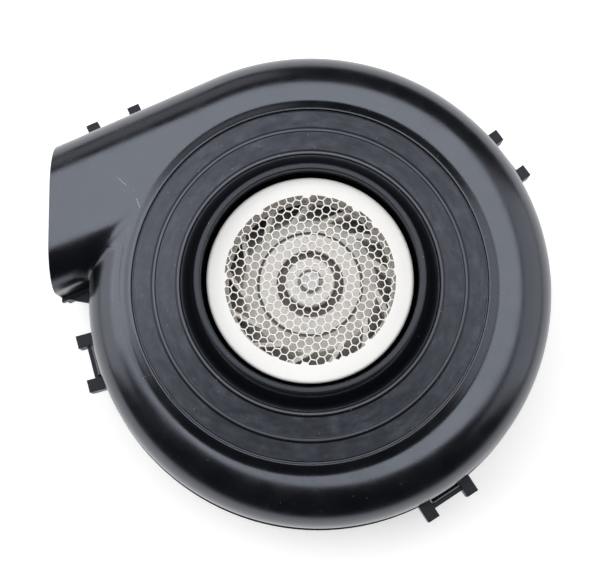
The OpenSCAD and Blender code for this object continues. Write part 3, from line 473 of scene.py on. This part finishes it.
# Dust lies only on faces that look up; it also fades out inside 24.5 to 26.2 mm, a painted shade that keeps
# the trough by the lip dark.
dust_lies_and_trough_shade = reckon(tree, "MULTIPLY", ramp(tree, flatness, 0.87, 0.94),
              ramp(tree, radius, 0.0245, 0.0262, 0.05, 1.0))
smear = reckon(tree, "MULTIPLY", reckon(tree, "ADD", reckon(tree, "MULTIPLY", smear, 0.6), 0.3), dust_lies_and_trough_shade)
body = tint(tree, smear, (0.001, 0.0015, 0.003, 1), (0.08, 0.085, 0.105, 1))
# Painted highlight: a lighter band along the top of each ring.
rubbing_and_highlight = reckon(tree, "MAXIMUM", *(ring_mask(tree, radius, ring + BEAD_MIDDLE, 0.2, 0.3)
                                 for ring in BEAD_RINGS))
body = tint(tree, rubbing_and_highlight, body, (0.15, 0.157, 0.182, 1), 0.5)
body = tint(tree, dust["Specks"], body, (0.45, 0.45, 0.46, 1), 0.6)
feed(tree, shader, body, ramp(tree, smear, 0.0, 1.0, 0.4, 0.55), grain["Height"], 0.25, 0.04)
bellows.data.materials.append(dusty_rubber)
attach(bellows, "casing")
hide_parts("bellows")


# Upper shell: the other half of the casing, hooked to the lower one, with the inlet in its crown.
# A scroll in three growing arcs runs out into the square duct; the wall is even and the shoulder
# round, and a low collar stands round the rubber. The same black plastic as below, but glossy.
CROWN, SHOULDER, PARTING, REBATE, WALL = 37.0, 9.0, 21.0, 22.65, 1.8
ARC_GROWTH, VALLEY_SOFTNESS, VALLEY_RATE = 0.1, 0.8, 1.5
# Each arc of the scroll: its centre, radius, and first and last angle.
scroll_arcs = [((1.7, -1.2), 47.7, 178.0, 300.0), ((1.1, -0.1608), 49.0, 300.0, 400.0),
               ((0.1807, -0.9321), 50.3, 400.0, 474.3)]
arc_centre = np.array([arc[0] for arc in scroll_arcs])
duct_start, duct_corner = np.array([-20.56, 45.003]), np.array([-53.0, -0.9])


def toward(degrees):
    """Unit vectors at an angle from +X."""
    turn = np.radians(degrees)
    return np.stack([np.cos(turn), np.sin(turn)], -1)


duct_side, duct_way, mouth_way = toward(114.3), toward(204.3), toward(180.4)
tongue_way, tongue_side = toward(22.0), toward(112.0)


def swell(share):
    """Each arc's radius grows a little over its sweep, by a smooth step, so that it meets the next one."""
    share = np.clip(share, 0, 1)
    return ARC_GROWTH * share * share * (3 - 2 * share)


def arc_points(arc, count, inset, start=None):
    """Points on one arc of the scroll, from an angle or its own start to its end, drawn in by inset."""
    centre, radius, first, last = arc
    turn = np.linspace(first if start is None else start, last, count, endpoint=False)
    reach = radius - inset + swell((turn - first) / (last - first))
    return np.array(centre) + reach[:, None] * toward(turn)


def between(start, end, count, power=1.0):
    """Points on a straight line, without its end; a power above 1 crowds them towards the end."""
    share = 1 - (1 - np.arange(count) / count) ** power
    return start + share[:, None] * (end - start)


# Steps on the runs of the outline: last arc, duct wall, mouth, tongue wall, first and second arc.
RUN_STEPS = (130, 60, 120, 60, 200, 160)
MOUTH = slice(sum(RUN_STEPS[:2]), sum(RUN_STEPS[:3]) + 1)


def shell_outline(inset):
    """The casing's outline in plan, drawn in by inset: last arc, duct wall, mouth, tongue wall, first
    and second arc. Walls are straight lines cut by the mouth's plane and by the first arc."""
    wall_foot = duct_start - inset * duct_side
    outer_corner = wall_foot + duct_way * ((duct_corner - wall_foot) @ mouth_way) / (duct_way @ mouth_way)
    tongue_foot = duct_corner + inset * tongue_side
    inner_corner = tongue_foot + tongue_way * (
        (duct_corner - tongue_foot) @ mouth_way) / (tongue_way @ mouth_way)
    foot = tongue_foot - arc_centre[0]
    half = foot @ tongue_way
    reach = -half - np.sqrt(half ** 2 - foot @ foot + (scroll_arcs[0][1] - inset) ** 2)
    notch = foot + reach * tongue_way
    notch_turn = np.degrees(np.arctan2(notch[1], notch[0])) % 360
    last_arc, wall, mouth, tongue, first_arc, second_arc = RUN_STEPS
    return np.concatenate([
        arc_points(scroll_arcs[2], last_arc, inset), between(wall_foot, outer_corner, wall),
        between(outer_corner, inner_corner, mouth, 1.5),
        between(inner_corner, arc_centre[0] + notch, tongue),
        arc_points(scroll_arcs[0], first_arc, inset, notch_turn),
        arc_points(scroll_arcs[1], second_arc, inset)])


def shoulder_line(depth, inset):
    """Height of the shoulder at a depth in from the wall: a quarter circle, then the flat crown. Outside
    the wall it falls off steeply."""
    top, bend = CROWN - inset, SHOULDER - inset
    inside = np.clip(depth, 0, bend)
    return np.where(depth < 0, top - bend + 12 * depth,
                    top - bend + np.sqrt(bend ** 2 - (bend - inside) ** 2))


def crown_height(spot, inset):
    """Height of the shell's top over points in plan. Each arc rules its own sector; in the duct's sector
    a soft maximum of the first arc and the duct wins, so the valley between them is rounded. Its
    softness grows with the drop below the crown, up to a limit, so the valley ends smoothly in the crown."""
    depths, turns = [], []
    for centre, radius, first, last in scroll_arcs:
        off = spot - np.array(centre)
        turns.append(np.degrees(np.arctan2(off[..., 1], off[..., 0])) % 360)
        turn = (turns[-1] - first) % 360
        depths.append(radius + swell(turn / (last - first)) * (turn < 350) - inset
                      - np.hypot(off[..., 0], off[..., 1]))
    in_second = (turns[1] >= 300) | (turns[1] < 40)
    past_start = ((spot - duct_start) @ duct_way >= 0) | (turns[0] > 180)
    past_start = past_start & (turns[0] > 90) & (turns[0] < 300) & ~in_second
    depth = np.where(in_second, depths[1], np.where(past_start, depths[0], depths[2]))
    arc_height = shoulder_line(depth, inset)
    out_depth = (duct_start - spot) @ duct_side - inset
    in_depth = (spot - duct_corner) @ tongue_side - inset
    duct_height = np.minimum(shoulder_line(out_depth, inset), shoulder_line(in_depth, inset))
    drop = CROWN - inset - np.maximum(arc_height, duct_height)
    softness = np.maximum(VALLEY_SOFTNESS * (1 - np.exp(-VALLEY_RATE * drop)), 1e-3)
    joined = softness * np.logaddexp(arc_height / softness, duct_height / softness)
    return np.where(past_start, np.minimum(joined, CROWN - inset), arc_height)


def ring_points(outline, radius):
    """Where rays from the pole to the outline cross a circle about the fan's axis."""
    pole = np.array([-10.0, 25.0])
    ray = outline - pole
    square, half = (ray * ray).sum(1), ray @ pole
    share = (np.sqrt(half ** 2 - square * (pole @ pole - radius ** 2)) - half) / square
    return pole + share[:, None] * ray


def skin(inset, collar, spans, wall_steps):
    """One skin of the shell as a grid of points: rows run from the inlet out to the outline and then
    down the wall, columns run round. collar lists radius and height of the first rows, and spans says
    how many rows the crown and shoulder get."""
    outline = shell_outline(inset)
    rows = [np.column_stack([ring_points(outline, r), np.full(len(outline), z)]) for r, z in collar]
    start = ring_points(outline, collar[-1][0])
    share = 1 - (1 - np.arange(1, spans + 1) / spans) ** 1.7
    spread = start + share[:, None, None] * (outline - start)
    rows += list(np.concatenate([spread, crown_height(spread, inset)[..., None]], -1))
    rows += [np.column_stack([shell_outline(i), np.full(len(outline), z)]) for i, z in wall_steps]
    return np.array(rows)


collar_line = [(35.0, CROWN), (36.0, CROWN), (36.0, 37.62), (36.05, 37.72), (36.15, 37.78), (36.3, 37.77),
               (36.6, 37.66), (37.0, 37.48), (37.4, 37.3), (37.8, 37.13), (38.1, 37.04), (38.45, CROWN)]
outer_skin = skin(0.0, collar_line, 70, [(0.0, 25.0), (0.0, REBATE), (0.0, PARTING)])
inner_skin = skin(WALL, [(35.0, 35.2)], 30, [(WALL, REBATE), (WALL / 2, REBATE), (WALL / 2, PARTING)])
columns = outer_skin.shape[1]
outer_ids = np.arange(outer_skin[..., 0].size).reshape(outer_skin.shape[:2])
inner_ids = np.arange(inner_skin[..., 0].size).reshape(inner_skin.shape[:2]) + outer_ids.size
outer_ids, inner_ids = (np.pad(ids, ((0, 0), (0, 1)), mode="wrap") for ids in (outer_ids, inner_ids))
# The last three rows of each skin are the wall below the mouth's rim, so they leave the mouth open.
front, rest = np.r_[0:MOUTH.start + 1], np.r_[MOUTH.stop - 1:columns + 1]
faces = [link_grid(outer_ids[:-3])[:, ::-1], link_grid(inner_ids[:-3])]
for run in (front, rest):
    faces += [link_grid(outer_ids[-4:][:, run])[:, ::-1], link_grid(inner_ids[-4:][:, run]),
              link_grid(np.stack([outer_ids[-1, run], inner_ids[-1, run]]))[:, ::-1]]
faces += [link_grid(np.stack([outer_ids[0], inner_ids[0]])),
          link_grid(np.stack([outer_ids[-4, MOUTH], inner_ids[-4, MOUTH]]))[:, ::-1]]
for column, turned in ((MOUTH.start, 1), (MOUTH.stop - 1, -1)):
    faces.append(link_grid(np.stack([outer_ids[-4:, column], inner_ids[-4:, column]]))[:, ::turned])
shell_faces = np.concatenate(faces)
shell_points = np.concatenate([outer_skin.reshape(-1, 3), inner_skin.reshape(-1, 3)])
used, shell_faces = np.unique(shell_faces, return_inverse=True)
shell_points, shell_faces = shell_points[used], shell_faces.reshape(-1, 4)

# Four hooks hang from the parting edge: a barbed profile carried across the hook's width, at the
# angle of each post. Two stand on the second arc, one on the first and one on the duct's wall.
HOOK_WIDTH, DUCT_HOOK = 6.5, 22.9
hook_line = np.array([[-0.6, PARTING], [0.25, PARTING], [0.25, 16.1], [1.25, 16.1], [2.0, 17.1], [2.0, 17.7],
                      [1.25, 17.7], [1.25, 22.4], [0.75, 22.9], [-0.6, 22.9]])
hook_turn = np.array([36.0, 303.0, 195.5, 114.3])
hook_foot = np.array([*(arc_centre[1] + scroll_arcs[1][1] * toward(hook_turn[:2])),
                      arc_centre[0] + scroll_arcs[0][1] * toward(hook_turn[2]),
                      duct_start + DUCT_HOOK * duct_way])
out, side = toward(hook_turn)[:, None, None], toward(hook_turn + 90)[:, None, None]
plan = (hook_foot[:, None, None] + hook_line[None, None, :, :1] * out
        + np.array([-0.5, 0.5])[None, :, None, None] * HOOK_WIDTH * side)
hook_points = np.concatenate([plan, np.broadcast_to(hook_line[:, 1:], plan.shape[:3] + (1,))], -1)
hook_ids = np.arange(plan[..., 0].size).reshape(plan.shape[:3]) + len(shell_points)
hook_faces = [link_grid(np.pad(pair, ((0, 0), (0, 1)), mode="wrap"))[:, ::-1] for pair in hook_ids]
hook_ends = hook_ids[:, 0].tolist() + hook_ids[:, 1, ::-1].tolist()
shell = make_piece("upper_shell_half", np.concatenate([shell_points, hook_points.reshape(-1, 3)]),
                   shell_faces.tolist() + np.concatenate(hook_faces).tolist() + hook_ends, 60)


def scratch(tree, start, end, width):
    """A mask for a straight scratch in plan, between two points and of a width in millimetres: 1 on its
    line, fading to its edge, on faces above 36 mm."""
    ray = np.subtract(end, start)
    middle = np.add(start, end) * 0.0005
    local = put(tree, "Mapping", {"vector_type": "TEXTURE"}, Vector=put(tree, "TexCoord").outputs["Object"],
                Location=(*middle, 0.0), Rotation=(0.0, 0.0, np.arctan2(ray[1], ray[0])))
    part = put(tree, "SeparateXYZ", n0=local.outputs[0]).outputs
    half = np.hypot(*ray) * 0.0005
    along = ramp(tree, reckon(tree, "ABSOLUTE", part[0]), half, half * 0.6)
    across = ramp(tree, reckon(tree, "ABSOLUTE", part[1]), width * 0.0005, width * 0.0002)
    high = reckon(tree, "GREATER_THAN", part[2], 0.036)
    return reckon(tree, "MULTIPLY", reckon(tree, "MULTIPLY", along, across), high)


GLOSSY_BLACK = (0.003, 0.0033, 0.0045)
SCRATCHES = [((-39.6, 22.2), (-37.3, 20.1), 0.16), ((-35.5, 17.8), (-34.5, 15.4), 0.2)]
black_casing, tree, shader = stuff("black_casing", GLOSSY_BLACK, 0.26, IOR=1.6, Specular_IOR_Level=0.76,
                                   Specular_Tint=COOL_GLOSS)
grain = apply_effect(tree, moulded_grain, Pitch_mm=0.22)
dust = apply_effect(tree, settled_dust, Patch_mm=5.0, Speck_mm=0.45, Rarity=0.993)
edge = apply_effect(tree, worn_edges, Width_mm=0.2)["Mask"]
body = tint(tree, dust["Film"], (*GLOSSY_BLACK, 1), (0.11, 0.115, 0.13, 1), 0.02)
body = tint(tree, dust["Specks"], body, (0.43, 0.43, 0.44, 1), 0.35)
body = tint(tree, edge, body, (0.05, 0.051, 0.055, 1), 0.3)
scored = reckon(tree, "MAXIMUM", *(scratch(tree, *line) for line in SCRATCHES))
body = tint(tree, scored, body, (0.38, 0.39, 0.415, 1), 0.6)
gloss = reckon(tree, "ADD", ramp(tree, grain["Tone"], 0.0, 1.0, 0.19, 0.25),
               reckon(tree, "MULTIPLY", dust["Film"], 0.05))
feed(tree, shader, body, gloss, grain["Height"], 0.25, 0.03, round_mm=0.25)
shell.data.materials.append(black_casing)
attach(shell, "casing")
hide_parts("upper_shell")


# Studio: a white table, one broad light above that reaches from overhead to the back and the left, and
# weaker ones at the sides. The table's colour and glow are a painted pool of light about a point at the back
# left, fading to dark grey outwards, so the front stays dark and shoulders that face it show black.
table = bpy.data.meshes.new("white_table")
table.from_pydata([(-4, -4, 0), (4, -4, 0), (4, 4, 0), (-4, 4, 0)], [], [(0, 1, 2, 3)])
floor = bpy.data.objects.new("white_table", table)
bpy.context.scene.collection.objects.link(floor)
table_white, tree, shader = stuff("table_white", (0.86, 0.86, 0.86), 0.7, Specular_IOR_Level=0.0)
spot = put(tree, "TexCoord").outputs["Object"]
away = put(tree, "VectorMath", {"operation": "DISTANCE"}, n0=spot, n1=(-0.25, 0.25, 0.0)).outputs["Value"]
# Painted pool of light: full within 0.45 m of the point, down to 0.15 beyond 0.8 m, for both colour and
# glow.
painted_light_pool = ramp(tree, away, 0.45, 0.8, 1.0, 0.15)
feed(tree, shader, tint(tree, painted_light_pool, (0, 0, 0, 1), (0.86, 0.86, 0.86, 1)))
seen = put(tree, "LightPath").outputs
straight = reckon(tree, "MAXIMUM", seen["Is Camera Ray"],
                  reckon(tree, "MAXIMUM", seen["Is Transmission Ray"], seen["Is Glossy Ray"]))
shader.inputs["Emission Color"].default_value = (1, 1, 1, 1)
tree.links.new(reckon(tree, "MULTIPLY", straight, reckon(tree, "MULTIPLY", painted_light_pool, 0.45)),
               shader.inputs["Emission Strength"])
table.materials.append(table_white)


def softbox(name, place, aim, width, height, radiance):
    """A rectangular lamp of an even radiance, from its place towards a point."""
    lamp = bpy.data.lights.new(name, "AREA")
    lamp.shape, lamp.size, lamp.size_y = "RECTANGLE", width, height
    lamp.energy = radiance * np.pi * width * height
    holder = bpy.data.objects.new(name, lamp)
    holder.location = place
    ray = np.array(aim) - np.array(place)
    tilt, turn = np.arccos(-ray[2] / np.linalg.norm(ray)), np.arctan2(ray[1], ray[0]) - np.pi / 2
    holder.rotation_euler = (tilt, 0, turn)
    holder.visible_camera = False
    bpy.context.scene.collection.objects.link(holder)


softbox("overhead", (-0.24, 0.25, 0.8), (-0.24, 0.2501, 0.0), 1.42, 0.74, 2.7)
softbox("left_side", (-0.9, 0.2, 0.4), (0, 0.1, 0.05), 1.0, 0.7, 1.75)
softbox("right_side", (0.85, 0.08, 0.42), (0, 0.0, 0.05), 0.95, 1.0, 1.35)
softbox("back_left", (-0.5, 0.95, 0.4), (0, 0.0, 0.08), 0.8, 0.5, 0.72)
world = bpy.data.worlds.new("studio")
world.use_nodes = True
world.node_tree.nodes["Background"].inputs["Color"].default_value = (0.9, 0.95, 1.0, 1)
world.node_tree.nodes["Background"].inputs["Strength"].default_value = 0.03
bpy.context.scene.world = world
bpy.context.scene.view_settings.view_transform = "Standard"

# The camera stands 0.3 m up and leans 8 degrees, as the picture does; its small shift frames the part.
lens = bpy.data.cameras.new("camera")
lens.lens, lens.sensor_width, lens.shift_x, lens.shift_y = 77.19, 36.0, -0.00341, -0.01006
lens.clip_start = 0.01
camera = bpy.data.objects.new("camera", lens)
camera.location, camera.rotation_euler = (0.0, -0.03618, 0.30097), (np.radians(8), 0.0, 0.0)
bpy.context.scene.collection.objects.link(camera)
bpy.context.scene.camera = camera
